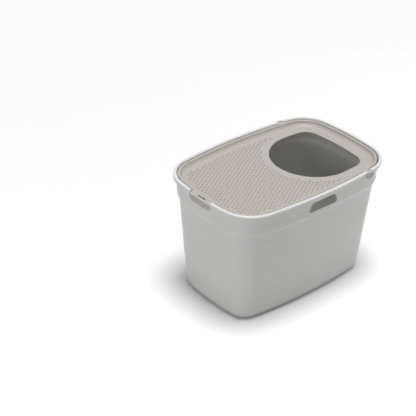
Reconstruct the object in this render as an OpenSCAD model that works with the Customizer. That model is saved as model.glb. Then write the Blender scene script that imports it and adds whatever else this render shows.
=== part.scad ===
// Top entry litter box: a tapered tub and a hinged lid with a D-shaped entry.
// X runs along the box towards the entry end, Z is up, the origin is the middle of the base.

/* [Tub outline] */
// Overall length of the rim, end to end
length = 585; // [540:5:680]
// Overall width of the rim, side to side
width = 394; // [370:1:450]
// Height of the rim above the floor
height = 374; // [260:1:450]
// Radius of the rim's corners in plan
corner_r = 99.5; // [90:0.5:125]
// Radius of the outward bow of each long side
long_side_r = 1578; // [1200:2:4000]
// Radius of the outward bow of each short side
short_side_r = 788; // [600:2:2000]

/* [Tub wall] */
// Wall and floor thickness
wall = 2.5; // [2:0.1:3]
// How far the collar's top lies inside the rim's edge
collar_inset_top = 9; // [8.5:0.1:10]
// How far the collar's foot lies inside the rim's edge
collar_inset_foot = 12.5; // [11:0.1:13.5]
// Depth of the collar's foot below the rim
collar_drop = 63; // [60:1:80]
// Height of the soft shoulder under the collar
shoulder_h = 17; // [10:1:30]
// Inset of the body just under the shoulder
body_inset_top = 19.3; // [16.5:0.1:22.5]
// Inset of the body's side lines where they meet the floor
body_inset_foot = 45.8; // [31.5:0.1:51.5]
// Outside radius between the sides and the base
base_round = 25; // [15:1:30]

/* [Rim] */
// Width of the rolled rim
rim_w = 9; // [8.6:0.1:9.8]
// Height of the rolled rim
rim_h = 12; // [11.6:0.1:12.6]
// Thickness of the rolled rim
rim_t = 2.4; // [2:0.1:2.8]
// Outside radius of the rim's top edge
rim_round = 3.2; // [3:0.1:4.4]
// Radius of the rim's inner top edge
rim_inner_round = 1; // [0.8:0.1:1.6]

/* [Lid seat] */
// Depth of the seat ledge below the rim
seat_drop = 12; // [10:0.1:14]
// Width of the ledge under the lid's edge
seat_bearing = 2.8; // [2:0.1:4]
// Thickness of the ledge at its edge
seat_t = 1.2; // [1:0.1:2.5]
// Clearance between the lid's edge and the ledge
seat_gap = 0.3; // [0.2:0.05:0.5]
// Distance from the hinge line at which the ledge stops
seat_stop = 20; // [16:1:30]

/* [Lid] */
// Open gap between the rim and the lid's edge
lid_gap = 4.9; // [4.2:0.1:6]
// Thickness of the lid
lid_t = 2.5; // [2:0.1:3]
// Width of the raised bead round the lid
bead_w = 7; // [6.8:0.1:8.5]
// Depth of the bead's top below the rim
bead_drop = 2.5; // [1.5:0.1:3]
// Radius of the bead's outer and inner edges
bead_round = 2; // [1.5:0.1:2.5]
// Depth of the lid's flat panel below the rim
panel_drop = 17; // [14:0.1:22]
// Inset from the rim's edge at which the flat panel begins
panel_inset = 34.5; // [34:0.5:41.5]
// Radius of the wide cove that rises from the panel to the bead
cove_r = 13.4; // [8:0.2:14]
// Thickness of the lid's outer lip
lip_t = 2.2; // [1.8:0.1:2.5]

/* [Entry opening] */
// Radius of the entry's round end, half of its width
entry_r = 124.5; // [110:0.5:126]
// Radius of the outward bow of the entry's long sides
entry_side_r = 510; // [400:10:3000]
// Inset of the entry's straight end from the rim's edge
entry_inset = 58.1; // [55.5:0.1:67.5]
// Length of the entry along the box
entry_len = 227.4; // [200:0.1:240]
// Radius of the corners at the straight end
entry_corner_r = 42; // [25:1:46]
// Depth of the turned-down lip round the entry
entry_lip_h = 6; // [4:0.5:12]
// Thickness of that lip
entry_lip_t = 2.2; // [1.8:0.1:3]

/* [Handle slots] */
// Width of each handle slot
slot_w = 104; // [80:1:130]
// Height of each handle slot
slot_h = 30.5; // [30:0.5:33]
// Depth of the slot's top edge below the rim
slot_drop = 23.4; // [22.5:0.1:25]
// Width of the slot's elliptical top corners
slot_top_w = 18; // [10:1:24]
// Height of those corners
slot_top_h = 24; // [12:1:24]
// Radius of the slot's lower corners
slot_low_r = 6; // [3:0.5:6]
// Depth of the grip lip, from the collar's outer face inwards
slot_depth = 9; // [5:0.5:12]
// Thickness of the grip lip
slot_lip_t = 2.2; // [1.8:0.1:2.5]

/* [Hinge] */
// Distance of the hinge line from the entry end of the rim
hinge_setback = 118.5; // [112.5:0.5:132.5]
// Depth of the hinge line below the rim
hinge_drop = 7; // [6.5:0.1:8]
// Radius of the trunnion on each ear
trunnion_r = 11; // [10:0.1:11.5]
// Radial clearance of the trunnion in its seat
trunnion_play = 0.08; // [0.05:0.01:0.1]
// Width of the mouth through which the trunnion snaps in
mouth_w = 20.2; // [18:0.1:20.4]
// Half of the width of the boss that carries the trunnion seat
hinge_boss_half = 16; // [15:0.5:18]
// Radius of the half-round ear outside the rim
ear_r = 15.5; // [15:0.5:19]
// Thickness of the ear
ear_t = 2.5; // [2:0.1:3.5]
// Clearance between the ear and the rim's outer edge
ear_gap = 0.5; // [0.3:0.1:1]
// Depth of the ear's straight top edge below the rim
ear_drop = 8; // [7.5:0.1:9]
// Gap between the lid's edge and the face that the ear is fixed to
ear_pad_reach = 1.8; // [1:0.1:2.5]

/* [Latch] */
// Width of the latch tab
latch_w = 86; // [70:1:110]
// Clearance between the latch tab and each end of the rim's notch
latch_side_gap = 1; // [0.5:0.1:2]
// Inset of the latch's hinge line from the rim's edge
latch_root_inset = 13.2; // [12.7:0.1:13.5]
// Gap at the latch's hinge line
latch_root_gap = 0.3; // [0.2:0.05:0.4]
// Inset of the flap's front face from the rim's edge
flap_inset = 1.5; // [0.5:0.1:2.1]
// Depth of the flap's lower edge below the rim
flap_drop = 27.5; // [24:0.5:34]
// Thickness of the latch tab
latch_t = 2.4; // [2:0.1:2.5]
// Depth of the fold at the flap's top edge below the rim
fold_drop = 7.2; // [6.5:0.1:7.5]
// Radius of the flap's lower corners
flap_corner_r = 13; // [6:0.5:14]
// Width of the window in the latch tab
window_w = 28; // [20:1:34]
// Inset of the window's inner edge from the rim's edge
window_inset = 11; // [10.5:0.1:11.5]
// Clearance round the catch inside the window
catch_gap = 0.4; // [0.3:0.05:0.6]
// Thickness of the catch
catch_t = 3.4; // [2.5:0.1:4]
// Depth of the catch's top below the rim
catch_drop = 6.8; // [6.4:0.1:7.4]
// Depth of the catch's foot below the rim
catch_foot_drop = 17; // [15:0.5:20]
// Depth of the notch's floor below the rim
notch_drop = 11; // [10.5:0.1:11.8]
// Thickness of the webs that close the rim beside each notch
notch_web_t = 2.5; // [1.5:0.1:4]

/* [Hidden] */
tub_colour = [0.80, 0.80, 0.79];
lid_colour = [0.76, 0.74, 0.69];
round_fn = 64;
past = 1;

half_l = length / 2;
half_w = width / 2;

// Plan outline: two bowed long sides, two bowed short sides and four tangent corner arcs
long_mid = [0, half_w - long_side_r];
short_mid = [half_l - short_side_r, 0];

// Centre of a corner of radius r that touches two larger arcs from inside
function corner_centre(mid_a, ra, mid_b, rb, r) = let (
    gap = mid_b - mid_a, dist = norm(gap), dir = gap / dist,
    along = (pow(ra - r, 2) - pow(rb - r, 2) + pow(dist, 2)) / (2 * dist),
    off = sqrt(pow(ra - r, 2) - pow(along, 2)))
    mid_a + dir * along + [dir[1], -dir[0]] * off;
function bearing(from, to) = atan2(to[1] - from[1], to[0] - from[0]);

corner_mid = corner_centre(long_mid, long_side_r, short_mid, short_side_r, corner_r);
short_turn = bearing(short_mid, corner_mid);
long_turn = bearing(long_mid, corner_mid);
short_steps = 4;
corner_steps = 10;
long_steps = 7;
ring_n = 4 * (short_steps + corner_steps + long_steps);

// Points of an arc without its last one
function oval_arc(mid, rx, ry, from, to, steps) =
    [for (i = [0 : steps - 1]) let (a = from + (to - from) * i / steps)
        mid + [rx * cos(a), ry * sin(a)]];
function arc(mid, r, from, to, steps) = oval_arc(mid, r, r, from, to, steps);
function quarter(inset) = concat(
    arc(short_mid, short_side_r - inset, 0, short_turn, short_steps),
    arc(corner_mid, corner_r - inset, short_turn, long_turn, corner_steps),
    arc(long_mid, long_side_r - inset, long_turn, 90, long_steps),
    [[0, half_w - inset]]);
function half_ring(q) = concat(
    [for (i = [0 : len(q) - 2]) q[i]],
    [for (i = [len(q) - 1 : -1 : 1]) [-q[i][0], q[i][1]]]);
function ring(inset) = let (h = half_ring(quarter(inset))) concat(h, [for (p = h) -p]);
function half_width_at(x, inset) = long_mid[1] + sqrt(pow(long_side_r - inset, 2) - x * x);
function half_length_at(y, inset) = short_mid[0] + sqrt(pow(short_side_r - inset, 2) - y * y);

// A profile is a list of [inset, z]; every point of it becomes one ring of the outline
function ring_points(profile) =
    [for (p = profile) for (q = ring(p[0])) [q[0], q[1], p[1]]];
function skin(rows, closed) =
    [for (j = [0 : rows - (closed ? 1 : 2)]) for (i = [0 : ring_n - 1])
        let (k = (i + 1) % ring_n, up = (j + 1) % rows)
            [j * ring_n + i, up * ring_n + i, up * ring_n + k, j * ring_n + k]];

// A bucket-like form, closed by its first ring below and its last ring above
module dish(profile) {
    rows = len(profile);
    floor_face = [for (i = [0 : ring_n - 1]) i];
    top_face = [for (i = [ring_n - 1 : -1 : 0]) (rows - 1) * ring_n + i];
    polyhedron(ring_points(profile), concat([floor_face], skin(rows, false), [top_face]));
}

// A closed hoop that follows the outline
module hoop(profile) {
    polyhedron(ring_points(profile), skin(len(profile), true));
}

// Tub section
taper = (body_inset_foot - body_inset_top) / (height - collar_drop - shoulder_h);
lean = atan(taper);
shoulder_z = height - collar_drop - shoulder_h;
base_inset = body_inset_foot - taper * base_round + base_round / cos(lean);
arc_steps = 4;
function ease(t) = t * t * (3 - 2 * t);
function base_arc(r) =
    [for (i = [0 : arc_steps]) let (a = (90 - lean) * i / arc_steps)
        [base_inset - r * sin(a), base_round - r * cos(a)]];
function shoulder(offset, steps) =
    [for (i = [0 : steps]) let (t = i / steps)
        [offset + body_inset_top + (collar_inset_foot - body_inset_top) * ease(t),
            shoulder_z + shoulder_h * t]];
function reversed(list) = [for (i = [len(list) - 1 : -1 : 0]) list[i]];
function round_over(inset, z, r, from, to, steps) =
    [for (i = [0 : steps]) let (a = from + (to - from) * i / steps)
        [inset + r * cos(a), z + r * sin(a)]];

// The collar's wall leans out into the roll, which is hollow from below
rim_roll = concat(
    [[collar_inset_top, height - rim_h],
        [rim_w - wall, height - rim_t - 1],
        [rim_w - wall - 1, height - rim_t]],
    round_over(rim_round, height - rim_round, rim_round - rim_t, 90, 180, 3),
    [[rim_t, height - rim_h],
        [0.6, height - rim_h],
        [0, height - rim_h + 0.8]]);
collar_inner = collar_inset_top + wall;
tub_profile = concat(
    base_arc(base_round),
    shoulder(0, 5),
    rim_roll,
    round_over(rim_round, height - rim_round, rim_round, 180, 90, 4),
    round_over(rim_w - rim_inner_round, height - rim_inner_round, rim_inner_round, 90, 0, 3),
    [[collar_inner, height - rim_h]],
    reversed(shoulder(wall, 5)),
    reversed(base_arc(base_round - wall)));

// Seat ledge
lid_inset = rim_w + lid_gap;
seat_inset = lid_inset + seat_bearing;
seat_root = collar_inset_top + wall / 2;
seat_z = height - seat_drop;
seat_profile = [
    [seat_root, seat_z],
    [seat_inset, seat_z],
    [seat_inset, seat_z - seat_t],
    [seat_root, seat_z - seat_t - (seat_inset - seat_root)]];

// Hinge
hinge_x = half_l - hinge_setback;
hinge_z = height - hinge_drop;
ear_in = half_width_at(hinge_x - ear_r, 0) + ear_gap;
ear_out = ear_in + ear_t;
ear_pad_y = half_width_at(hinge_x, lid_inset) + ear_pad_reach;
boss_in = half_width_at(hinge_x, collar_inset_top + wall / 2);
boss_out = half_width_at(hinge_x + hinge_boss_half, rim_t) - 0.4;

// Latch
notch_half = latch_w / 2 + latch_side_gap;
notch_in = past - half_length_at(notch_half, collar_inner);
flap_x = flap_inset - half_l;
flap_back_x = flap_x + latch_t;
root_x = latch_root_inset - half_l;
land_x = root_x + latch_root_gap;
window_x = window_inset - half_l;
catch_x = flap_back_x + catch_gap;
bead_z = height - bead_drop;

// Stands a shape drawn in X and Z along Y, from one Y to another
module along_y(from, to) {
    translate([0, to, 0]) rotate([90, 0, 0]) linear_extrude(to - from) children();
}

// Repeats a shape on the near side, -Y, and on the far side
module both_sides() {
    children();
    mirror([0, 1, 0]) children();
}

function slot_outline(grow) = let (
    hw = slot_w / 2, top = height - slot_drop, low = height - slot_drop - slot_h,
    tw = slot_top_w, th = slot_top_h, lr = slot_low_r) concat(
    arc([hw - lr, low + lr], lr + grow, -90, 0, 3), [[hw + grow, low + lr]],
    oval_arc([hw - tw, top - th], tw + grow, th + grow, 0, 90, 8), [[hw - tw, top + grow]],
    oval_arc([tw - hw, top - th], tw + grow, th + grow, 90, 180, 8), [[-hw - grow, top - th]],
    arc([lr - hw, low + lr], lr + grow, 180, 270, 3), [[lr - hw, low - grow]]);

module seat_ledge() {
    intersection() {
        hoop(seat_profile);
        translate([-length, -width, seat_z - height / 4])
            cube([length + hinge_x - seat_stop, 2 * width, height / 2]);
    }
}

module hinge_boss() {
    translate([hinge_x - hinge_boss_half, -boss_out, hinge_z - trunnion_r - 3])
        cube([2 * hinge_boss_half, boss_out - boss_in, trunnion_r + 3 + hinge_drop - rim_t - 0.3]);
}

module hinge_seat_cut() {
    seat_r = trunnion_r + trunnion_play;
    along_y(-half_w - past, -boss_in + 3 * wall)
        translate([hinge_x, hinge_z]) circle(seat_r, $fn = round_fn);
    translate([hinge_x - mouth_w / 2, -half_w - past, hinge_z])
        cube([mouth_w, half_w + past - boss_in + 3 * wall, hinge_drop + past]);
}

// The grip lip is held inside the sloping, bowed collar by a form just within its outer face
module grip_lip() {
    collar_slope = (collar_inset_foot - collar_inset_top) / (collar_drop - rim_h);
    intersection() {
        dish([
            [collar_inset_foot + 0.4, height - collar_drop],
            [collar_inset_foot + 0.4 - collar_slope * (collar_drop - rim_h), height - rim_h]]);
        along_y(-half_w, -half_width_at(0, collar_inset_top + slot_depth))
            difference() {
                polygon(slot_outline(slot_lip_t));
                polygon(slot_outline(0));
            }
    }
}

module slot_cut() {
    along_y(-half_w, -half_width_at(0, collar_inset_top + slot_depth) + past)
        polygon(slot_outline(0));
}

module latch_notch() {
    translate([-half_l - past, -notch_half, height - notch_drop])
        cube([half_l + past + notch_in, 2 * notch_half, notch_drop + past]);
    translate([-half_l - past, -notch_half, height - 2 * rim_h])
        cube([past + collar_inset_top - 0.5, 2 * notch_half, 2 * rim_h]);
}

// Webs that close the hollow of the rim at both ends of the notch, held inside its round
module notch_webs() {
    web_x = -half_length_at(notch_half + notch_web_t, rim_t / 2);
    intersection() {
        dish(concat(
            [[rim_t / 2, height - rim_h]],
            round_over(rim_round, height - rim_round, rim_round - rim_t / 2, 180, 90, 4)));
        both_sides()
            translate([web_x, -notch_half - notch_web_t, height - rim_h])
                cube([collar_inset_top + wall / 2 - rim_t / 2, notch_web_t, rim_h]);
    }
}

module latch_catch() {
    catch_half = window_w / 2 - catch_gap;
    foot_x = -half_length_at(0, collar_inset_top + wall / 2);
    along_y(-catch_half, catch_half)
        polygon([
            [foot_x, height - catch_foot_drop],
            [catch_x + 1, height - catch_foot_drop],
            [catch_x, height - catch_foot_drop + 3],
            [catch_x, height - catch_drop - 1],
            [catch_x + 0.8, height - catch_drop],
            [catch_x + catch_t - 0.8, height - catch_drop],
            [catch_x + catch_t, height - catch_drop - 1],
            [catch_x + catch_t, height - notch_drop - 1],
            [foot_x, height - notch_drop - 1]]);
}

module tub() {
    color(tub_colour) {
        difference() {
            union() {
                dish(tub_profile);
                seat_ledge();
                notch_webs();
                both_sides() {
                    hinge_boss();
                    grip_lip();
                }
            }
            both_sides() {
                hinge_seat_cut();
                slot_cut();
            }
            latch_notch();
        }
        latch_catch();
    }
}

// Lid section
panel_z = height - panel_drop;
lip_z = seat_z + seat_gap;
slope_turn = 80;
cove_fit = min(cove_r, (panel_drop - bead_drop - bead_round) / (1 - cos(slope_turn)));
cove_mid = [panel_inset, panel_z + cove_fit];
function cove(r) = round_over(cove_mid[0], cove_mid[1], r, -90, -90 - slope_turn, 6);
bead_inner = lid_inset + bead_w;
lid_profile = concat(
    cove(cove_fit + lid_t),
    [[bead_inner - lid_t * 0.9, bead_z - lid_t - 1],
        [bead_inner - lid_t * 0.9 - 1, bead_z - lid_t],
        [lid_inset + lip_t + 1, bead_z - lid_t],
        [lid_inset + lip_t, bead_z - lid_t - 1],
        [lid_inset + lip_t, lip_z],
        [lid_inset, lip_z]],
    round_over(lid_inset + bead_round, bead_z - bead_round, bead_round, 180, 90, 3),
    round_over(bead_inner - bead_round, bead_z - bead_round, bead_round, 90, 20, 3),
    reversed(cove(cove_fit)));

// Entry opening: a round end towards the middle, bowed sides, and an end that follows the short side
entry_end_r = short_side_r - entry_inset;
entry_mid_x = half_l - entry_inset - entry_len + entry_r;
entry_side_mid = [entry_mid_x, entry_r - entry_side_r];
entry_corner = corner_centre(entry_side_mid, entry_side_r, short_mid, entry_end_r, entry_corner_r);
entry_end_turn = bearing(short_mid, entry_corner);
entry_side_turn = bearing(entry_side_mid, entry_corner);
function near_side(p) = [p[0], -p[1]];
function entry_outline(grow) = concat(
    arc([entry_mid_x, 0], entry_r + grow, 90, 270, 30),
    arc(near_side(entry_side_mid), entry_side_r + grow, -90, -entry_side_turn, 4),
    arc(near_side(entry_corner), entry_corner_r + grow, -entry_side_turn, -entry_end_turn, 8),
    arc(short_mid, entry_end_r + grow, -entry_end_turn, entry_end_turn, 6),
    arc(entry_corner, entry_corner_r + grow, entry_end_turn, entry_side_turn, 8),
    arc(entry_side_mid, entry_side_r + grow, entry_side_turn, 90, 4));

module trunnion_section() {
    intersection() {
        translate([hinge_x, hinge_z]) circle(trunnion_r, $fn = round_fn);
        translate([hinge_x - 2 * trunnion_r, bead_z - 4 * trunnion_r])
            square([4 * trunnion_r, 4 * trunnion_r]);
    }
}

module ear_pad() {
    along_y(-ear_pad_y, -half_width_at(hinge_x, lid_inset + bead_w / 2))
        trunnion_section();
}

module latch_land() {
    translate([land_x, -latch_w / 2, bead_z - latch_t])
        cube([lid_inset + bead_w / 2 - half_l - land_x, latch_w, latch_t]);
}

module lid() {
    color(lid_colour)
        difference() {
            union() {
                dish(lid_profile);
                translate([0, 0, panel_z - entry_lip_h])
                    linear_extrude(entry_lip_h - lid_t / 2) polygon(entry_outline(entry_lip_t));
                both_sides() ear_pad();
                latch_land();
            }
            translate([0, 0, panel_z - 4 * entry_lip_h])
                linear_extrude(8 * entry_lip_h) polygon(entry_outline(0));
        }
}

module hinge_ear() {
    along_y(-ear_out, -ear_pad_y) trunnion_section();
    along_y(-ear_out, -ear_in)
        intersection() {
            translate([hinge_x, hinge_z]) circle(ear_r, $fn = round_fn);
            translate([hinge_x - 2 * ear_r, height - ear_drop - 4 * ear_r])
                square([4 * ear_r, 4 * ear_r]);
        }
}

module hinge_ear_near() {
    color(lid_colour) hinge_ear();
}

module hinge_ear_far() {
    color(lid_colour) mirror([0, 1, 0]) hinge_ear();
}

// Latch tab: a sloping plate from the lid's edge, a fold and the hanging flap
fold_x = flap_x + latch_t;
latch_profile = [
    [root_x, bead_z],
    [fold_x, height - fold_drop],
    [flap_x + 0.7, height - fold_drop - 1],
    [flap_x, height - fold_drop - 3],
    [flap_x, height - flap_drop + 0.8],
    [flap_x + 0.8, height - flap_drop],
    [flap_back_x - 0.8, height - flap_drop],
    [flap_back_x, height - flap_drop + 0.8],
    [flap_back_x, height - fold_drop - 4],
    [flap_back_x + 2, height - fold_drop - 1.8],
    [root_x, bead_z - latch_t]];
function flap_front() = let (
    hw = latch_w / 2, low = height - flap_drop, r = flap_corner_r) concat(
    [[-hw, height]],
    arc([r - hw, low + r], r, 180, 270, 6), [[r - hw, low]],
    arc([hw - r, low + r], r, 270, 360, 6), [[hw, low + r]],
    [[hw, height]]);

module latch_tab() {
    color(lid_colour)
        difference() {
            intersection() {
                along_y(-latch_w / 2, latch_w / 2) polygon(latch_profile);
                translate([-half_l - past, 0, 0]) rotate([90, 0, 90])
                    linear_extrude(2 * rim_w + 2 * past) polygon(flap_front());
            }
            translate([flap_back_x, -window_w / 2, height - catch_foot_drop - past])
                cube([window_x - flap_back_x, window_w, catch_foot_drop + 2 * past]);
        }
}

tub();
lid();
hinge_ear_near();
hinge_ear_far();
latch_tab();
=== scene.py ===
# Looks of the top entry litter box: tub, lid with nubs, hinge ears and latch tab. Sizes in metres.
import math

import bmesh
import bpy
from mathutils import Matrix, Quaternion, Vector


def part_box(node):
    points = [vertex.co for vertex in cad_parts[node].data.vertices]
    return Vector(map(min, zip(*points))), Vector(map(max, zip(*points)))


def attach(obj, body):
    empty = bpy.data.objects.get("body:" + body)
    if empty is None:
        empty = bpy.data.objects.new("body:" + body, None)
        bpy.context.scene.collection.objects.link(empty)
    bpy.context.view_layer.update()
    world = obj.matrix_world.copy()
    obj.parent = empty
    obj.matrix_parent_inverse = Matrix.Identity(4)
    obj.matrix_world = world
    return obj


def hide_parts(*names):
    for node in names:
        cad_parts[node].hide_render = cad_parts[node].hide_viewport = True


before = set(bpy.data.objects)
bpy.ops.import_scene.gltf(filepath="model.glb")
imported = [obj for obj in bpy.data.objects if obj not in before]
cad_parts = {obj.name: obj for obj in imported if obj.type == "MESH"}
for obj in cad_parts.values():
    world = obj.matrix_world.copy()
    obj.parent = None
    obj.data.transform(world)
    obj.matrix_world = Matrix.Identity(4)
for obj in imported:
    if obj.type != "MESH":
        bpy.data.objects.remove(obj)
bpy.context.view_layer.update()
halfLength, halfWidth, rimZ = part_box("tub")[1]
print("frame loaded")

# Camera, found from the rim, lid and base lines of the photograph
cameraView = {
    "azimuth": -40.92,
    "elevation": 32.155,
    "roll": 1.63,
    "distance": 3.9134,
    "target": (-0.08446, 0.20251, 0.15815),
    "focalPixels": 1314.95,
    "imagePixels": 416,
    "sensor": 36.0,
    "clipStart": 0.1,
    "clipEnd": 60,
}


def makeCamera():
    data = bpy.data.cameras.new("camera")
    data.sensor_width = cameraView["sensor"]
    data.lens = cameraView["focalPixels"] * data.sensor_width / cameraView["imagePixels"]
    data.clip_start = cameraView["clipStart"]
    data.clip_end = cameraView["clipEnd"]
    camera = bpy.data.objects.new("camera", data)
    bpy.context.collection.objects.link(camera)
    azimuth, elevation = (math.radians(cameraView[name]) for name in ("azimuth", "elevation"))
    back = Vector((
        math.sin(azimuth) * math.cos(elevation),
        -math.cos(azimuth) * math.cos(elevation),
        math.sin(elevation),
    ))
    roll = Quaternion((0, 0, 1), math.radians(cameraView["roll"]))
    camera.rotation_mode = "QUATERNION"
    camera.rotation_quaternion = (-back).to_track_quat("-Z", "Y") @ roll
    camera.location = Vector(cameraView["target"]) + back * cameraView["distance"]
    bpy.context.scene.camera = camera


makeCamera()
print("camera placed")


# Plan outline that every ring of the tub and the lid follows: bowed sides and round corners
plan = {
    "cornerRadius": 0.0995,
    "longSideRadius": 1.578,
    "shortSideRadius": 0.788,
    "shortSteps": 10,
    "cornerSteps": 22,
    "longSteps": 16,
}
longMid = Vector((0, halfWidth - plan["longSideRadius"]))
shortMid = Vector((halfLength - plan["shortSideRadius"], 0))


def cornerCentre(sideMid, sideRadius, endMid, endRadius, radius):  # touches both arcs from inside
    toSide = sideRadius - radius
    toEnd = endRadius - radius
    gap = endMid - sideMid
    along = (toSide**2 - toEnd**2 + gap.length**2) / (2 * gap.length)
    aside = math.sqrt(toSide**2 - along**2)
    step = gap.normalized()
    return sideMid + step * along + Vector((step.y, -step.x)) * aside


def bearing(centre, point):
    return math.atan2(point.y - centre.y, point.x - centre.x)


cornerMid = cornerCentre(
    longMid, plan["longSideRadius"], shortMid, plan["shortSideRadius"], plan["cornerRadius"]
)
shortTurn = bearing(shortMid, cornerMid)
longTurn = bearing(longMid, cornerMid)


def onOutline(point, inset, z):  # the same place on the outline at another inset and height
    flat = Vector((abs(point.x), abs(point.y)))
    angle = bearing(cornerMid, flat)
    centre, radius = cornerMid, plan["cornerRadius"]
    if angle < shortTurn:
        centre, radius = shortMid, plan["shortSideRadius"]
    if angle > longTurn:
        centre, radius = longMid, plan["longSideRadius"]
    flat = centre + (flat - centre).normalized() * (radius - inset)
    return Vector((math.copysign(flat.x, point.x), math.copysign(flat.y, point.y), z))


def halfWidthAt(x, inset):
    return longMid.y + math.sqrt((plan["longSideRadius"] - inset) ** 2 - x * x)


def halfLengthAt(y, inset):
    return shortMid.x + math.sqrt((plan["shortSideRadius"] - inset) ** 2 - y * y)


# Mesh helpers
gaps = {  # places closer than this count as one
    "seam": 1e-5,  # along a mirror's plane, or at a corner of a section
    "sliver": 2e-6,  # left by the booleans
    "level": 1e-6,  # when two heights or distances are compared
    "weld": 1e-7,
}
cutMargin = 0.01  # how far a cutter reaches past what it cuts


def spinArc(bm, vert, centre, turn, steps):
    middle = (centre.x, centre.y, vert.co.z)
    spun = bmesh.ops.spin(bm, geom=[vert], cent=middle, axis=(0, 0, 1), angle=turn, steps=steps)
    return spun["geom_last"][0]


def mirrorNew(bm, older, axes):  # completes a quarter or half loop and closes its seams
    for axis in axes:
        verts = [v for v in bm.verts if v not in older]
        edges = [e for e in bm.edges if e.verts[0] not in older]
        bmesh.ops.mirror(
            bm, geom=verts + edges, matrix=Matrix.Identity(4), merge_dist=gaps["seam"], axis=axis
        )
        verts = [v for v in bm.verts if v not in older]
        bmesh.ops.remove_doubles(bm, verts=verts, dist=gaps["seam"])
    return [e for e in bm.edges if e.verts[0] not in older]


def outlineLoop(bm, inset, z):
    older = set(bm.verts)
    spot = bm.verts.new((halfLength - inset, 0, z))
    spot = spinArc(bm, spot, shortMid, shortTurn, plan["shortSteps"])
    spot = spinArc(bm, spot, cornerMid, longTurn - shortTurn, plan["cornerSteps"])
    spinArc(bm, spot, longMid, math.pi / 2 - longTurn, plan["longSteps"])
    return mirrorNew(bm, older, "XY")


def nextLoop(bm, loop, follow):  # a copy of the loop, joined by faces and put where follow says
    grown = bmesh.ops.extrude_edge_only(bm, edges=loop)["geom"]
    verts = {g for g in grown if isinstance(g, bmesh.types.BMVert)}
    for vert in verts:
        vert.co = follow(vert.co)
    return [g for g in grown if isinstance(g, bmesh.types.BMEdge) and set(g.verts) <= verts]


def sweep(bm, loop, onRing, rows):  # rows are inset, height, rounding width, rounding steps
    loops = [loop]
    for inset, z, *_ in rows[1:]:
        loops.append(nextLoop(bm, loops[-1], lambda co: onRing(co, inset, z)))
    return loops


def sweepOutline(bm, rows):
    inset, z, *_ = rows[0]
    return sweep(bm, outlineLoop(bm, inset, z), onOutline, rows)


def closeEnds(bm, loops):
    for end in (0, -1):
        bmesh.ops.contextual_create(bm, geom=loops[end])


def bevel(bm, geom, width, steps, affect="EDGES", clamp=False, slide=False):
    bmesh.ops.bevel(
        bm, geom=geom, offset=width, offset_type="OFFSET", segments=steps, profile=0.5,
        affect=affect, clamp_overlap=clamp, loop_slide=slide, material=-1,
    )


def roundLoops(bm, loops, rows):
    bmesh.ops.recalc_face_normals(bm, faces=bm.faces)
    for loop, (_, _, width, steps) in zip(loops, rows):
        if width:
            bevel(bm, loop, width, steps, slide=True)


def asObject(name, bm):
    bmesh.ops.remove_doubles(bm, verts=bm.verts, dist=gaps["weld"])
    bmesh.ops.recalc_face_normals(bm, faces=bm.faces)
    mesh = bpy.data.meshes.new(name)
    bm.to_mesh(mesh)
    bm.free()
    piece = bpy.data.objects.new(name, mesh)
    bpy.context.collection.objects.link(piece)
    return piece


def settle(piece):  # turns what the modifiers show into the piece's own mesh
    bpy.context.view_layer.update()
    graph = bpy.context.evaluated_depsgraph_get()
    mesh = bpy.data.meshes.new_from_object(piece.evaluated_get(graph))
    piece.modifiers.clear()
    piece.data = mesh


def combine(piece, tool, operation):
    modifier = piece.modifiers.new(operation, "BOOLEAN")
    modifier.operation = operation
    modifier.solver = "EXACT"
    modifier.object = tool
    settle(piece)
    bpy.data.objects.remove(tool)


def block(name, corner, opposite):
    bm = bmesh.new()
    size = [abs(length) for length in Vector(opposite) - Vector(corner)]
    middle = (Vector(opposite) + Vector(corner)) / 2
    matrix = Matrix.Translation(middle) @ Matrix.Diagonal((*size, 1))
    bmesh.ops.create_cube(bm, size=1, matrix=matrix)
    return asObject(name, bm)


def disc(bm, radius, centre, sides=64):  # a round face in the XZ plane
    turn = Matrix.Translation(centre) @ Matrix.Rotation(math.pi / 2, 4, "X")
    bmesh.ops.create_circle(bm, cap_ends=True, radius=radius, segments=sides, matrix=turn)


def cutAbove(bm, z):  # takes away what lies above a height and keeps the rest
    bmesh.ops.bisect_plane(
        bm, geom=bm.verts[:] + bm.edges[:] + bm.faces[:], plane_co=(0, 0, z), plane_no=(0, 0, 1),
        clear_outer=True,
    )


def thicken(bm, move):  # pulls every face of a flat sheet along a vector into a closed solid
    pulled = bmesh.ops.extrude_face_region(bm, geom=bm.faces[:], use_keep_orig=True)["geom"]
    verts = [g for g in pulled if isinstance(g, bmesh.types.BMVert)]
    bmesh.ops.translate(bm, verts=verts, vec=move)


def roundSharp(piece, width, above=50, steps=3):  # rounds every edge that is sharper than an angle
    bm = bmesh.new()
    bm.from_mesh(piece.data)
    bmesh.ops.remove_doubles(bm, verts=bm.verts, dist=gaps["sliver"])
    bmesh.ops.dissolve_degenerate(bm, dist=gaps["sliver"], edges=bm.edges)
    sharp = [e for e in bm.edges if e.is_manifold and e.calc_face_angle() > math.radians(above)]
    bevel(bm, sharp, width, steps, clamp=True, slide=True)
    bm.to_mesh(piece.data)
    bm.free()


def smoothShade(piece, sharpAbove=48):
    piece.data.shade_smooth()
    piece.data.set_sharp_from_angle(angle=math.radians(sharpAbove))
    weighted = piece.modifiers.new("level", "WEIGHTED_NORMAL")
    weighted.keep_sharp = True
    weighted.weight = 60  # the larger faces lead
    settle(piece)


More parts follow.
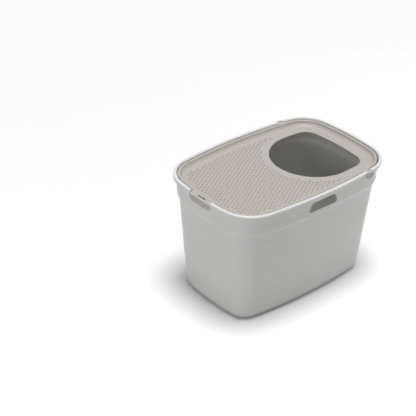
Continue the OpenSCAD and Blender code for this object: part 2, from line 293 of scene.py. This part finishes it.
# Shader helpers: a wire is a socket on which sums can be written
class Wire:
    def __init__(self, finish, socket):
        self.finish = finish
        self.socket = socket

    def joined(self, operation, first, second):
        return self.finish.node("ShaderNodeMath", {"operation": operation}, {0: first, 1: second})[0]

    def __add__(self, other):
        return self.joined("ADD", self, other)

    def __radd__(self, other):
        return self.joined("ADD", other, self)

    def __sub__(self, other):
        return self.joined("SUBTRACT", self, other)

    def __rsub__(self, other):
        return self.joined("SUBTRACT", other, self)

    def __mul__(self, other):
        return self.joined("MULTIPLY", self, other)

    def __rmul__(self, other):
        return self.joined("MULTIPLY", other, self)


class Finish:
    def __init__(self, holder):  # a new material, or the world
        holder.use_nodes = True
        self.holder = holder
        self.tree = holder.node_tree
        self.tree.nodes.clear()

    def node(self, kind, settings=None, sockets=None):  # gives the new node's outputs as wires
        made = self.tree.nodes.new(kind)
        for name, value in (settings or {}).items():
            setattr(made, name, value)
        for name, value in (sockets or {}).items():
            if isinstance(value, Wire):
                self.tree.links.new(value.socket, made.inputs[name])
            else:
                made.inputs[name].default_value = value
        return [Wire(self, socket) for socket in made.outputs]

    def end(self, surface, output="ShaderNodeOutputMaterial"):
        self.node(output, None, {"Surface": surface})
        return self.holder


def mouldedPlastic(name, look):
    finish = Finish(bpy.data.materials.new(name))
    coords = finish.node("ShaderNodeTexCoord")[3]  # the piece's own Object coordinates
    cloud = finish.node(
        "ShaderNodeTexNoise", None, {"Vector": coords, "Scale": look["cloudScale"], "Detail": 2.0}
    )[0]
    grain = finish.node(
        "ShaderNodeTexNoise", None, {"Vector": coords, "Scale": look["grainScale"], "Detail": 3.0}
    )[0]
    shade = finish.node(
        "ShaderNodeMix",
        {"data_type": "RGBA"},
        {0: cloud, 6: (*look["dark"], 1), 7: (*look["light"], 1)},
    )[2]
    rough = look["roughness"] + (grain - 0.5) * look["roughnessSpread"]
    bump = finish.node(
        "ShaderNodeBump",
        None,
        {"Strength": look["bump"], "Distance": look["bumpHeight"], "Height": grain},
    )[0]
    surface = finish.node(
        "ShaderNodeBsdfPrincipled",
        None,
        {"Base Color": shade, "Roughness": rough, "Normal": bump, "IOR": 1.49},
    )[0]
    return finish.end(surface)


tubLook = {
    "light": (0.745, 0.745, 0.74),  # two shades that drift into each other
    "dark": (0.725, 0.725, 0.72),
    "cloudScale": 6.0,
    "grainScale": 900.0,
    "roughness": 0.36,
    "roughnessSpread": 0.12,
    "bump": 0.25,
    "bumpHeight": 0.0001,
}
lidLook = {
    "light": (0.476, 0.45, 0.42),
    "dark": (0.46, 0.435, 0.405),
    "cloudScale": 7.0,
    "grainScale": 1100.0,
    "roughness": 0.45,
    "roughnessSpread": 0.12,
    "bump": 0.35,
    "bumpHeight": 0.0001,
}
tubPlastic = mouldedPlastic("tub_plastic", tubLook)
lidPlastic = mouldedPlastic("lid_plastic", lidLook)


def place(piece, body, slot, material, *nodes):
    piece.data.materials.clear()
    piece.data.materials.append(material)
    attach(piece, body)
    if nodes:
        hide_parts(*nodes)


# Hinge and latch places that the tub, the lid and the small pieces share
hinge = {
    "setback": 0.1185,  # from the entry end of the rim
    "drop": 0.007,
    "trunnionRadius": 0.011,
    "play": 0.00008,
    "mouth": 0.0202,
    "earRadius": 0.0155,
    "earThickness": 0.0025,
    "earGap": 0.0005,
    "earTopDrop": 0.008,
    "earRound": 0.0006,
    "earSharp": 40,  # degrees past which its edges are rounded
    "padReach": 0.0018,
    "stubInset": 0.0001,  # of the trunnion's end behind the ear's face
    "bossHalf": 0.016,
    "bossInset": 0.0004,  # behind the rim's skirt
    "bossTopGap": 0.0003,
    "bossFoot": 0.003,  # below the hole
    "cutReach": 0.008,  # of the hole past the boss, into the tub
}
hingeX = halfLength - hinge["setback"]
hingeZ = rimZ - hinge["drop"]
earIn = halfWidthAt(hingeX - hinge["earRadius"], 0) + hinge["earGap"]
earOut = earIn + hinge["earThickness"]

latch = {
    "width": 0.086,
    "sideGap": 0.001,
    "rootInset": 0.0132,
    "rootGap": 0.0003,
    "flapInset": 0.0015,
    "flapDrop": 0.0275,
    "thickness": 0.0024,
    "foldRound": 0.0012,
    "foldSteps": 5,
    "foldUnderSteps": 4,
    "flapRound": 0.013,
    "flapSteps": 10,
    "edgeRound": 0.0005,
    "slope": 0.505,
    "windowWidth": 0.028,
    "windowInset": 0.011,
    "notchDrop": 0.011,
    "notchReach": 0.001,  # past the collar's inner face
    "hemReach": 0.0005,  # short of the collar's outer face
    "catchGap": 0.0004,
    "catchThickness": 0.0034,
    "catchDrop": 0.0068,
    "catchFoot": 0.017,
    "armDrop": 0.001,  # of the catch's arm below the notch
    "web": 0.0025,
}
rootX = latch["rootInset"] - halfLength
flapX = latch["flapInset"] - halfLength
flapBackX = flapX + latch["thickness"]


# Tub
tubShape = {
    "wall": 0.0025,
    "footInset": 0.0458,
    "footRound": 0.0228,
    "footInnerRound": 0.0206,
    "footSteps": 9,
    "footWallShare": 0.92,  # of the wall, across the slope at the foot
    "floorFrame": 0.003,  # from the foot's round to the flat of the floor
    "shoulderFoot": (0.01905, 0.0772),  # inset and drop
    "shoulderTop": (0.01268, 0.0658),
    "shoulderRound": 0.005,
    "shoulderSteps": 4,
    "collarTop": 0.009,
    "collarRound": 0.003,
    "collarSteps": 3,
    "rimWidth": 0.009,
    "rimDrop": 0.012,
    "rimThickness": 0.0024,
    "rimRound": 0.0032,
    "rimSteps": 8,
    "rimUnderSteps": 5,
    "rimInnerRound": 0.001,
    "rimInnerSteps": 4,
    "rimRootRound": 0.001,  # where the collar meets the rim from below
    "rimHem": 0.0006,
    "hemRise": 0.0008,
    "hemRound": 0.0005,
    "seatDrop": 0.012,
    "seatInset": 0.0167,
    "seatThickness": 0.0012,
    "seatRound": 0.0004,
    "seatStop": 0.02,
    "smallSteps": 2,  # in the smallest rounds
    "edgeRound": 0.0006,
    "coreInset": 0.001,  # of the form that trims the notch's webs
    "coreSteps": 6,
}
slotShape = {
    "width": 0.104,
    "height": 0.0305,
    "drop": 0.0234,
    "topWidth": 0.018,  # of its oval top corners
    "topHeight": 0.024,
    "topSteps": 14,
    "lowRound": 0.006,
    "lowSteps": 6,
    "depth": 0.009,
    "lip": 0.0022,
    "lipBite": 0.0006,  # of the lip's face behind the collar's
}


def tubRows():  # up the outside, over the rim and down the inside
    shape = tubShape
    wall = shape["wall"]
    floorIn = shape["footInset"] + shape["footRound"] + shape["floorFrame"]
    shoulderFoot, footDrop = shape["shoulderFoot"]
    shoulderTop, topDrop = shape["shoulderTop"]
    shoulder = (shape["shoulderRound"], shape["shoulderSteps"])
    collar = (shape["collarRound"], shape["collarSteps"])
    hem = (shape["hemRound"], shape["smallSteps"])
    rimUnder = rimZ - shape["rimThickness"]
    rimFoot = rimZ - shape["rimDrop"]
    rimIn = shape["rimWidth"]
    underRound = shape["rimRound"] - shape["rimThickness"]
    return [
        (floorIn, 0, 0, 0),
        (shape["footInset"], 0, shape["footRound"], shape["footSteps"]),
        (shoulderFoot, rimZ - footDrop, *shoulder),
        (shoulderTop, rimZ - topDrop, *shoulder),
        (shape["collarTop"], rimFoot, *collar),
        (rimIn - wall, rimUnder, shape["rimRootRound"], shape["smallSteps"]),
        (shape["rimThickness"], rimUnder, underRound, shape["rimUnderSteps"]),
        (shape["rimThickness"], rimFoot, *hem),
        (shape["rimHem"], rimFoot, *hem),
        (0, rimFoot + shape["hemRise"], 0, 0),
        (0, rimZ, shape["rimRound"], shape["rimSteps"]),
        (rimIn, rimZ, shape["rimInnerRound"], shape["rimInnerSteps"]),
        (shape["collarTop"] + wall, rimFoot, *collar),
        (shoulderTop + wall, rimZ - topDrop, *shoulder),
        (shoulderFoot + wall, rimZ - footDrop, *shoulder),
        (
            shape["footInset"] + wall * shape["footWallShare"], wall,
            shape["footInnerRound"], shape["footSteps"],
        ),
        (floorIn, wall, 0, 0),
    ]


def tubShell():
    bm = bmesh.new()
    rows = tubRows()
    loops = sweepOutline(bm, rows)
    closeEnds(bm, loops)
    roundLoops(bm, loops, rows)
    return asObject("tub_shell", bm)


def seatLedge():  # carries the lid, and stops short of the hinge
    shape = tubShape
    root = shape["collarTop"] + shape["wall"] / 2
    reach = shape["seatInset"] - root
    top = rimZ - shape["seatDrop"]
    low = top - shape["seatThickness"]
    rows = [
        (root, low - reach, 0, 0),
        (root, top, 0, 0),
        (shape["seatInset"], top, shape["seatRound"], shape["smallSteps"]),
        (shape["seatInset"], low, shape["seatRound"], shape["smallSteps"]),
    ]
    bm = bmesh.new()
    loops = sweepOutline(bm, rows)
    bmesh.ops.bridge_loops(bm, edges=loops[-1] + loops[0])
    roundLoops(bm, loops, rows)
    stop = bmesh.ops.bisect_plane(
        bm, geom=bm.verts[:] + bm.edges[:] + bm.faces[:],
        plane_co=(hingeX - shape["seatStop"], 0, 0), plane_no=(1, 0, 0), clear_outer=True,
    )
    rims = [g for g in stop["geom_cut"] if isinstance(g, bmesh.types.BMEdge)]
    bmesh.ops.holes_fill(bm, edges=rims)
    return asObject("seat_ledge", bm)


def slotFace(bm, y, grow):  # the slot's outline as a face standing in the XZ plane
    shape = slotShape
    half = shape["width"] / 2 + grow
    top = rimZ - shape["drop"] + grow
    low = rimZ - shape["drop"] - shape["height"] - grow
    lowPair = [bm.verts.new((x, y, low)) for x in (-half, half)]
    topPair = [bm.verts.new((x, y, top)) for x in (half, -half)]
    bm.faces.new(lowPair + topPair)
    bevel(bm, lowPair, shape["lowRound"] + grow, shape["lowSteps"], affect="VERTICES")
    bevel(bm, topPair, shape["topWidth"] + grow, shape["topSteps"], affect="VERTICES")
    stretch = (shape["topHeight"] + grow) / (shape["topWidth"] + grow)
    for vert in bm.verts:  # the top corners are taller than wide
        if vert.co.z > top - shape["topWidth"] - grow - gaps["level"]:
            vert.co.z = top - (top - vert.co.z) * stretch


def slotBlock(side, grow, outer, inner):
    bm = bmesh.new()
    slotFace(bm, side * outer, grow)
    thicken(bm, (0, side * (inner - outer), 0))
    return asObject("slot_block", bm)


def collarCore():  # a form just inside the collar's outer face, which keeps the lips in the wall
    shape = tubShape
    bite = slotShape["lipBite"]
    foot, drop = shape["shoulderTop"]
    rows = [
        (foot + bite, rimZ - drop, 0, 0),
        (shape["collarTop"] + bite, rimZ - shape["rimDrop"], 0, 0),
    ]
    bm = bmesh.new()
    closeEnds(bm, sweepOutline(bm, rows))
    return asObject("collar_core", bm)


def addGripLips(tub):
    inner = halfWidthAt(0, tubShape["collarTop"] + slotShape["depth"])
    for side in (-1, 1):
        lip = slotBlock(side, slotShape["lip"], halfWidth, inner)
        combine(lip, collarCore(), "INTERSECT")
        combine(tub, lip, "UNION")
        hole = slotBlock(side, 0, halfWidth + cutMargin, inner - cutMargin)
        combine(tub, hole, "DIFFERENCE")


def addHingeSeats(tub):
    bossIn = halfWidthAt(hingeX, tubShape["collarTop"] + tubShape["wall"] / 2)
    skirtIn = halfWidthAt(hingeX + hinge["bossHalf"], tubShape["rimThickness"])
    bossOut = skirtIn - hinge["bossInset"]
    cutIn = bossIn - hinge["cutReach"]
    cutOut = halfWidth + cutMargin
    low = hingeZ - hinge["trunnionRadius"] - hinge["bossFoot"]
    top = rimZ - tubShape["rimThickness"] - hinge["bossTopGap"]
    for side in (-1, 1):
        boss = block(
            "hinge_boss",
            (hingeX - hinge["bossHalf"], side * bossIn, low),
            (hingeX + hinge["bossHalf"], side * bossOut, top),
        )
        combine(tub, boss, "UNION")
        bm = bmesh.new()
        disc(bm, hinge["trunnionRadius"] + hinge["play"], (hingeX, side * cutIn, hingeZ))
        thicken(bm, (0, side * (cutOut - cutIn), 0))
        combine(tub, asObject("trunnion_hole", bm), "DIFFERENCE")
        mouth = block(
            "trunnion_mouth",
            (hingeX - hinge["mouth"] / 2, side * cutIn, hingeZ),
            (hingeX + hinge["mouth"] / 2, side * cutOut, rimZ + cutMargin),
        )
        combine(tub, mouth, "DIFFERENCE")


def rimCore():  # a form just inside the rim's top, which keeps the webs beside the notch in it
    shape = tubShape
    skin = shape["rimThickness"] / 2
    top = rimZ - skin
    rows = [
        (skin, rimZ - shape["rimDrop"], 0, 0),
        (skin, top, shape["rimRound"] - skin, shape["coreSteps"]),
        (shape["rimWidth"] - shape["coreInset"], top, 0, 0),
    ]
    bm = bmesh.new()
    loops = sweepOutline(bm, rows)
    closeEnds(bm, loops)
    roundLoops(bm, loops, rows)
    return asObject("rim_core", bm)


def addNotchWebs(tub, half):  # close the rim's hollow on both sides of the notch
    webMid = tubShape["rimThickness"] / 2
    webX = -halfLengthAt(half + latch["web"], webMid)
    webIn = webX + tubShape["collarTop"] + tubShape["wall"] / 2 - webMid
    for side in (-1, 1):
        closing = block(
            "notch_web",
            (webX, side * half, rimZ - tubShape["rimDrop"]),
            (webIn, side * (half + latch["web"]), rimZ),
        )
        combine(closing, rimCore(), "INTERSECT")
        combine(tub, closing, "UNION")


def cutNotch(tub, half):
    inner = latch["notchReach"] - halfLengthAt(half, tubShape["collarTop"] + tubShape["wall"])
    beyond = -halfLength - cutMargin
    above = rimZ + cutMargin
    notch = block("notch", (beyond, -half, rimZ - latch["notchDrop"]), (inner, half, above))
    combine(tub, notch, "DIFFERENCE")
    hemX = tubShape["collarTop"] - latch["hemReach"] - halfLength
    hemLow = rimZ - 2 * tubShape["rimDrop"]  # well below the rim's skirt
    skirt = block("notch_hem", (beyond, -half, hemLow), (hemX, half, above))
    combine(tub, skirt, "DIFFERENCE")


def addCatch(tub):  # stands in the tab's window
    catchX = flapBackX + latch["catchGap"]
    catchHalf = latch["windowWidth"] / 2 - latch["catchGap"]
    footX = -halfLengthAt(0, tubShape["collarTop"] + tubShape["wall"] / 2)
    foot = rimZ - latch["catchFoot"]
    armTop = rimZ - latch["notchDrop"] - latch["armDrop"]
    arm = block("catch_arm", (catchX, -catchHalf, foot), (footX, catchHalf, armTop))
    combine(tub, arm, "UNION")
    hookX = catchX + latch["catchThickness"]
    hookTop = rimZ - latch["catchDrop"]
    hook = block("catch_hook", (catchX, -catchHalf, foot), (hookX, catchHalf, hookTop))
    combine(tub, hook, "UNION")


def addLatchNotch(tub):
    half = latch["width"] / 2 + latch["sideGap"]
    addNotchWebs(tub, half)
    cutNotch(tub, half)
    addCatch(tub)


def makeTub():
    tub = tubShell()
    combine(tub, seatLedge(), "UNION")
    addHingeSeats(tub)
    addLatchNotch(tub)
    addGripLips(tub)
    roundSharp(tub, tubShape["edgeRound"])
    smoothShade(tub)
    tub.name = "tub_body"
    place(tub, "tub", "tub_plastic", tubPlastic, "tub")


makeTub()
print("tub made")

# Lid
lidShape = {
    "edgeInset": 0.0139,
    "lipThickness": 0.0022,
    "lipDrop": 0.0117,
    "lipRound": 0.0005,
    "beadDrop": 0.0025,
    "beadInner": 0.0207,
    "beadUnderInset": 0.0021,  # outwards from beadInner, for the slope's thickness
    "beadRound": 0.002,
    "beadSteps": 5,
    "beadInnerRound": 0.0017,
    "beadInnerSteps": 4,
    "thickness": 0.0025,
    "panelDrop": 0.017,
    "slopeFoot": 0.02325,
    "slopeUnderFoot": 0.02115,
    "coveRound": 0.01124,
    "coveSteps": 12,
    "coveUnderRound": 0.01334,
    "coveUnderSteps": 10,
    "panelFrame": 0.038,
    "underFrame": 0.002,  # inwards from panelFrame, on the underside
    "underRound": 0.001,
    "smallSteps": 2,
    "edgeRound": 0.0004,
}
entry = {
    "radius": 0.1245,  # of the round end
    "sideRadius": 0.51,
    "cornerRadius": 0.042,
    "inset": 0.0581,
    "length": 0.2274,
    "lipDrop": 0.006,
    "lipThickness": 0.0022,
    "lipRound": 0.0008,
    "lipSteps": 3,
    "edgeRound": 0.0022,
    "edgeSteps": 5,
    "roundSteps": 36,
    "sideSteps": 10,
    "cornerSteps": 12,
    "endSteps": 10,
    "frame": 0.006,
}
entryEndRadius = plan["shortSideRadius"] - entry["inset"]
entryMid = Vector((halfLength - entry["inset"] - entry["length"] + entry["radius"], 0))
entrySideMid = Vector((entryMid.x, entry["radius"] - entry["sideRadius"]))
entryCorner = cornerCentre(
    entrySideMid, entry["sideRadius"], shortMid, entryEndRadius, entry["cornerRadius"]
)
entrySideTurn = bearing(entrySideMid, entryCorner)
entryEndTurn = bearing(shortMid, entryCorner)


def onEntry(point, grow, z):  # the same place on the entry's outline, grown and at another height
    flat = Vector((point.x, abs(point.y)))
    angle = bearing(entryCorner, flat)
    centre, radius = entryCorner, entry["cornerRadius"]
    if angle < entryEndTurn:
        centre, radius = shortMid, entryEndRadius
    if angle > entrySideTurn:
        centre, radius = entrySideMid, entry["sideRadius"]
    if flat.x < entryMid.x:
        centre, radius = entryMid, entry["radius"]
    flat = centre + (flat - centre).normalized() * (radius + grow)
    return Vector((flat.x, math.copysign(flat.y, point.y), z))


def entryLoop(bm, grow, z):
    older = set(bm.verts)
    spot = bm.verts.new((entryMid.x - entry["radius"] - grow, 0, z))
    spot = spinArc(bm, spot, entryMid, -math.pi / 2, entry["roundSteps"])
    spot = spinArc(bm, spot, entrySideMid, entrySideTurn - math.pi / 2, entry["sideSteps"])
    spot = spinArc(bm, spot, entryCorner, entryEndTurn - entrySideTurn, entry["cornerSteps"])
    spinArc(bm, spot, shortMid, -entryEndTurn, entry["endSteps"])
    return mirrorNew(bm, older, "Y")


def lidRows(panelZ, underZ):  # from the panel's underside over the lip and the bead to its top
    shape = lidShape
    lipIn = shape["edgeInset"] + shape["lipThickness"]
    lipZ = rimZ - shape["lipDrop"]
    beadZ = rimZ - shape["beadDrop"]
    beadUnderZ = rimZ - (shape["beadDrop"] + shape["thickness"])
    hollow = (shape["underRound"], shape["smallSteps"])
    hem = (shape["lipRound"], shape["smallSteps"])
    return [
        (shape["panelFrame"] + shape["underFrame"], underZ, 0, 0),
        (shape["slopeUnderFoot"], underZ, shape["coveUnderRound"], shape["coveUnderSteps"]),
        (shape["beadInner"] - shape["beadUnderInset"], beadUnderZ, *hollow),
        (lipIn, beadUnderZ, *hollow),
        (lipIn, lipZ, *hem),
        (shape["edgeInset"], lipZ, *hem),
        (shape["edgeInset"], beadZ, shape["beadRound"], shape["beadSteps"]),
        (shape["beadInner"], beadZ, shape["beadInnerRound"], shape["beadInnerSteps"]),
        (shape["slopeFoot"], panelZ, shape["coveRound"], shape["coveSteps"]),
        (shape["panelFrame"], panelZ, 0, 0),
    ]


def entryRows(panelZ, underZ):  # down the entry's edge and back up behind it
    lipZ = panelZ - entry["lipDrop"]
    hem = (entry["lipRound"], entry["lipSteps"])
    return [
        (entry["frame"], panelZ, 0, 0),
        (0, panelZ, entry["edgeRound"], entry["edgeSteps"]),
        (0, lipZ, *hem),
        (entry["lipThickness"], lipZ, *hem),
        (entry["lipThickness"], underZ, lidShape["underRound"], lidShape["smallSteps"]),
        (entry["frame"], underZ, 0, 0),
    ]


def lidPlate():
    panelZ = rimZ - lidShape["panelDrop"]
    underZ = rimZ - (lidShape["panelDrop"] + lidShape["thickness"])
    rows = lidRows(panelZ, underZ)
    edgeRows = entryRows(panelZ, underZ)
    bm = bmesh.new()
    loops = sweepOutline(bm, rows)
    entryLoops = sweep(bm, entryLoop(bm, entry["frame"], panelZ), onEntry, edgeRows)
    for outer, inner in ((loops[-1], entryLoops[0]), (loops[0], entryLoops[-1])):
        bmesh.ops.triangle_fill(bm, use_beauty=True, edges=outer + inner)
    roundLoops(bm, loops, rows)
    roundLoops(bm, entryLoops, edgeRows)
    return asObject("lid_plate", bm)


def trunnion(name, start, end):  # the flat-topped round stub that joins an ear to the lid
    bm = bmesh.new()
    disc(bm, hinge["trunnionRadius"], (hingeX, start, hingeZ))
    cutAbove(bm, rimZ - lidShape["beadDrop"])
    thicken(bm, (0, end - start, 0))
    return asObject(name, bm)


padOut = halfWidthAt(hingeX, lidShape["edgeInset"]) + hinge["padReach"]


def makeLid():
    lid = lidPlate()
    beadMid = (lidShape["edgeInset"] + lidShape["beadInner"]) / 2
    padIn = halfWidthAt(hingeX, beadMid)
    for side in (-1, 1):
        combine(lid, trunnion("ear_pad", side * padIn, side * padOut), "UNION")
    top = rimZ - lidShape["beadDrop"]
    half = latch["width"] / 2
    landLow = (rootX + latch["rootGap"], -half, top - latch["thickness"])
    land = block("latch_land", landLow, (beadMid - halfLength, half, top))
    combine(lid, land, "UNION")
    roundSharp(lid, lidShape["edgeRound"])
    smoothShade(lid)
    lid.name = "lid_plate"
    place(lid, "lid", "lid_plastic", lidPlastic, "lid")


makeLid()
print("lid made")

# Nubs that clean the cat's paws, in offset columns over the panel
nubs = {
    "radius": 0.0028,
    "height": 0.0028,
    "sides": 10,
    "rings": ((0.93, 0.45), (0.75, 0.8), (0.42, 1.0)),  # shares of the radius and of the height
    "columnStep": 0.01045,
    "rowStep": 0.01205,
    "columns": range(-30, 20),
    "rows": range(-14, 15),
    "shift": 0.5,  # of every other column, in row steps
    "firstColumn": 0.0051,
    "border": 0.043,
    "entryBorder": 0.147,  # from the middle of the entry's round end
}


def nubDome():
    bm = bmesh.new()
    bmesh.ops.create_circle(bm, cap_ends=True, radius=nubs["radius"], segments=nubs["sides"])
    top = bm.faces[:]
    for share, rise in nubs["rings"]:
        top = bmesh.ops.extrude_discrete_faces(bm, faces=top)["faces"]
        for vert in top[0].verts:
            out = vert.co.xy.normalized() * nubs["radius"] * share
            vert.co = (*out, nubs["height"] * rise)
    bmesh.ops.holes_fill(bm, edges=bm.edges, sides=0)
    mesh = bpy.data.meshes.new("nub")
    bm.to_mesh(mesh)
    bm.free()
    return mesh


def nubPlaces():
    for column in nubs["columns"]:
        x = nubs["firstColumn"] + column * nubs["columnStep"]
        shift = nubs["shift"] if column % 2 == 0 else 0.0
        for row in nubs["rows"]:
            y = (row + shift) * nubs["rowStep"]
            spot = Vector((x, y, 0))
            edge = onOutline(spot, nubs["border"], 0)
            inside = all(abs(a) <= abs(b) + gaps["level"] for a, b in zip(spot.xy, edge.xy))
            clear = (spot.xy - entryMid).length > nubs["entryBorder"] and x < entryMid.x
            if inside and clear:
                yield x, y


def makeNubs():
    dome = nubDome()
    bm = bmesh.new()
    panel = rimZ - lidShape["panelDrop"]
    for x, y in nubPlaces():
        count = len(bm.verts)
        bm.from_mesh(dome)
        bm.verts.ensure_lookup_table()
        bmesh.ops.translate(bm, verts=bm.verts[count:], vec=(x, y, panel))
    piece = asObject("lid_nubs", bm)
    piece.data.shade_smooth()
    place(piece, "lid", "lid_plastic", lidPlastic)


makeNubs()
print("nubs made")


# Hinge ears
def makeEar(name, side):
    bm = bmesh.new()
    disc(bm, hinge["earRadius"], (hingeX, side * earIn, hingeZ))
    cutAbove(bm, rimZ - hinge["earTopDrop"])
    thicken(bm, (0, side * hinge["earThickness"], 0))
    ear = asObject(name + "_shape", bm)
    stub = trunnion("stub", side * padOut, side * (earOut - hinge["stubInset"]))
    combine(ear, stub, "UNION")
    roundSharp(ear, hinge["earRound"], above=hinge["earSharp"])
    smoothShade(ear)
    place(ear, "lid", "lid_plastic", lidPlastic, name)


makeEar("hinge_ear_near", -1)
makeEar("hinge_ear_far", 1)
print("ears made")


# Latch tab
def makeLatch():
    top = rimZ - lidShape["beadDrop"]
    thick = latch["thickness"]
    half = latch["width"] / 2
    low = rimZ - latch["flapDrop"]
    section = [
        (rootX, top),
        (flapX, top - (rootX - flapX) * latch["slope"]),
        (flapX, low),
        (flapBackX, low),
        (flapBackX, top - thick - (rootX - flapBackX) * latch["slope"]),
        (rootX, top - thick),
    ]
    bm = bmesh.new()
    bm.faces.new([bm.verts.new((x, -half, z)) for x, z in section])
    thicken(bm, (0, latch["width"], 0))

    def across(spots):  # edges whose two ends lie at one of these places of the section
        return [
            e for e in bm.edges
            if all(any((v.co.xz - Vector(s)).length < gaps["seam"] for s in spots) for v in e.verts)
        ]

    flapCorners = [
        e for e in across(section[2:4]) if abs(e.verts[0].co.y - e.verts[1].co.y) < gaps["level"]
    ]
    bevel(bm, flapCorners, latch["flapRound"], latch["flapSteps"])
    bevel(bm, across(section[1:2]), latch["foldRound"], latch["foldSteps"])
    bevel(bm, across(section[4:5]), latch["foldRound"], latch["foldUnderSteps"])
    tab = asObject("latch_shape", bm)
    windowHalf = latch["windowWidth"] / 2
    windowX = latch["windowInset"] - halfLength
    window = block("window", (flapBackX, -windowHalf, low), (windowX, windowHalf, rimZ))
    combine(tab, window, "DIFFERENCE")
    roundSharp(tab, latch["edgeRound"])
    smoothShade(tab)
    tab.name = "latch_flap"
    place(tab, "latch", "lid_plastic", lidPlastic, "latch_tab")


makeLatch()
print("latch made")

# Studio: a pale floor under wide soft light, with more of it from the latch's end
studio = {
    "floorSize": 30.0,
    "floorSeen": (0.925, 0.925, 0.925),  # what the camera and reflections see of the floor
    "floorBounce": (0.42, 0.42, 0.42),  # what the floor gives back to the box
    "worldSeen": 1.0,
    "horizonLight": 0.58,
    "zenithLight": 0.05,
    "skyFrom": (0.0, -0.05, 1.0),  # direction of the wide light overhead
    "skyStrength": 2.62,
    "skyAngle": 24.0,
    "aim": (0, 0, 0.2),
    "softboxes": (
        # place, size, watts
        ((-2.4, -0.5, 0.8), 1.6, 11.8),
        ((1.6, -0.7, 0.5), 0.8, 6.0),
    ),
}


def seenDirectly(finish):  # 1 for what the camera sees, also in a reflection
    path = finish.node("ShaderNodeLightPath")
    return path[0] + path[3] + path[6]  # camera, glossy and transmission rays


def makeFloor():
    bm = bmesh.new()
    bmesh.ops.create_grid(bm, x_segments=1, y_segments=1, size=studio["floorSize"] / 2)
    floor = asObject("floor", bm)
    finish = Finish(bpy.data.materials.new("floor_paper"))
    seen, bounce = (
        finish.node("ShaderNodeBsdfDiffuse", None, {"Color": (*studio[name], 1)})[0]
        for name in ("floorSeen", "floorBounce")
    )
    blend = {0: seenDirectly(finish), 1: bounce, 2: seen}
    surface = finish.node("ShaderNodeMixShader", None, blend)[0]
    floor.data.materials.append(finish.end(surface))


def makeWorld():
    finish = Finish(bpy.data.worlds.new("studio"))
    direction = finish.node("ShaderNodeTexCoord")[0]
    height = finish.node("ShaderNodeSeparateXYZ", None, {0: direction})[2]
    light = studio["horizonLight"] + height * (studio["zenithLight"] - studio["horizonLight"])
    strength = light + seenDirectly(finish) * (studio["worldSeen"] - light)
    background = finish.node("ShaderNodeBackground", None, {"Strength": strength})[0]
    bpy.context.scene.world = finish.end(background, "ShaderNodeOutputWorld")


def addLamp(data, spot, aim):
    lamp = bpy.data.objects.new(data.name, data)
    lamp.location = spot
    lamp.rotation_mode = "QUATERNION"
    lamp.rotation_quaternion = (Vector(aim) - Vector(spot)).to_track_quat("-Z", "Y")
    bpy.context.collection.objects.link(lamp)


def makeLamps():
    sky = bpy.data.lights.new("sky_light", "SUN")
    sky.energy = studio["skyStrength"]
    sky.angle = math.radians(studio["skyAngle"])
    addLamp(sky, studio["skyFrom"], (0, 0, 0))
    for number, (spot, size, watts) in enumerate(studio["softboxes"]):
        softbox = bpy.data.lights.new(f"softbox_{number}", "AREA")
        softbox.shape = "SQUARE"
        softbox.size = size
        softbox.energy = watts
        addLamp(softbox, spot, studio["aim"])


makeFloor()
makeWorld()
makeLamps()
bpy.context.scene.view_settings.view_transform = "Standard"
print("studio lit")
